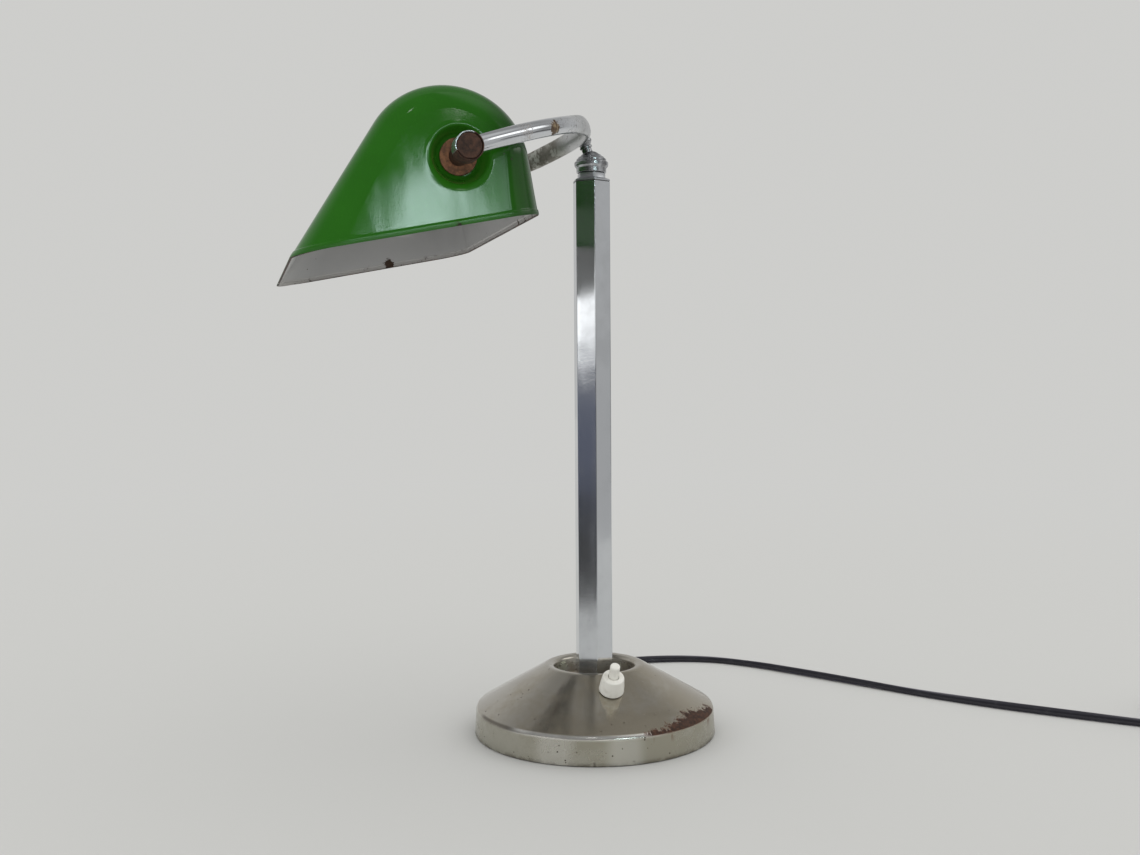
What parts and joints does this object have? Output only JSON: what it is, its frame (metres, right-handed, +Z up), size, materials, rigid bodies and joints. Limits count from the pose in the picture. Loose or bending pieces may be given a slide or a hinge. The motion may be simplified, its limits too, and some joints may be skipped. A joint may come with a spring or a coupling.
{
  "type": "desk lamp",
  "caption": "Desk lamp with a weighted round base, a hexagonal column, a ball joint, a bowed yoke and a tilting enamelled trough shade, with a push switch and mains cord.",
  "frame": {"origin": "centre of the underside of the base, on the desk", "axes": "+Z up along the column, -Y towards the user and the front edge of the shade, X along the shade's tilt axis"},
  "size_m": [0.3245, 0.6661, 0.4001],
  "materials": {
    "nickel": "worn nickel plate with brown spots",
    "chrome": "aged bright chrome plate",
    "steel": "plain turned steel",
    "rusty_steel": "brown rust",
    "cast_iron": "rough casting",
    "brass": "turned",
    "felt": "pressed felt",
    "enamel": "glossy vitreous enamel, green outside and white inside",
    "ivory": "satin",
    "bakelite": "satin",
    "fibre": "pressed fibre",
    "porcelain": "glazed",
    "bulb_glass": "frosted",
    "cord_black": "satin",
    "plug_black": "satin moulded"
  },
  "bodies": {
    "stand": {"base_shell": "nickel", "base_ballast": "cast_iron", "base_cover": "steel", "base_felt": "felt", "cover_screw_1": "steel", "cover_screw_2": "steel", "cover_screw_3": "steel", "foot_washer": "steel", "foot_nut": "brass", "switch_body": "bakelite", "switch_collar": "ivory", "switch_spring": "steel", "column_tube": "chrome", "column_foot": "steel", "column_head": "chrome", "tie_tube": "steel", "joint_cap": "chrome", "pressure_spring": "steel", "cord_grommet": "cord_black", "cord_run": "cord_black", "cord_coil": "cord_black", "cord_tail": "cord_black", "plug_body": "plug_black", "plug_pin_1": "nickel", "plug_pin_2": "nickel"},
    "cup": {"friction_cup": "fibre"},
    "bow": {"ball_stud": "chrome", "bow_tube": "chrome", "barrel_right": "chrome", "barrel_left": "chrome", "barrel_plug_right": "rusty_steel", "barrel_plug_left": "rusty_steel", "pivot_tube_right": "rusty_steel", "pivot_tube_left": "rusty_steel", "pivot_washer_right": "rusty_steel", "pivot_washer_left": "rusty_steel", "inner_washer_right": "steel", "inner_washer_left": "steel", "pivot_nut_left": "steel", "lamp_holder": "porcelain", "holder_sleeve": "brass", "holder_contact": "brass", "bulb_contact": "brass", "bulb_cap": "brass", "bulb_glass": "bulb_glass"},
    "shade": {"shade": "enamel"},
    "plunger": {"switch_plunger": "ivory"}
  },
  "joints": [
    {"name": "swivel", "type": "hinge", "parent": "stand", "child": "cup", "pos_m": [0, 0, 0.3768], "axis": [0, 0, 1], "range_deg": [-170, 170]},
    {"name": "lean", "type": "hinge", "parent": "cup", "child": "bow", "pos_m": [0, 0, 0.3768], "axis": [1, 0, 0], "range_deg": [-45, 5]},
    {"name": "shade_tilt", "type": "hinge", "parent": "bow", "child": "shade", "pos_m": [0, -0.10948, 0.35642], "axis": [1, 0, 0], "range_deg": [-60, 35]},
    {"name": "press", "type": "slide", "parent": "stand", "child": "plunger", "axis": [-0.5013, 0.0263, -0.8649], "range_m": [0, 0.0025], "stiffness_N_per_m": 300, "springref_m": -0.005, "deforming": ["switch_spring"]}
  ]
}
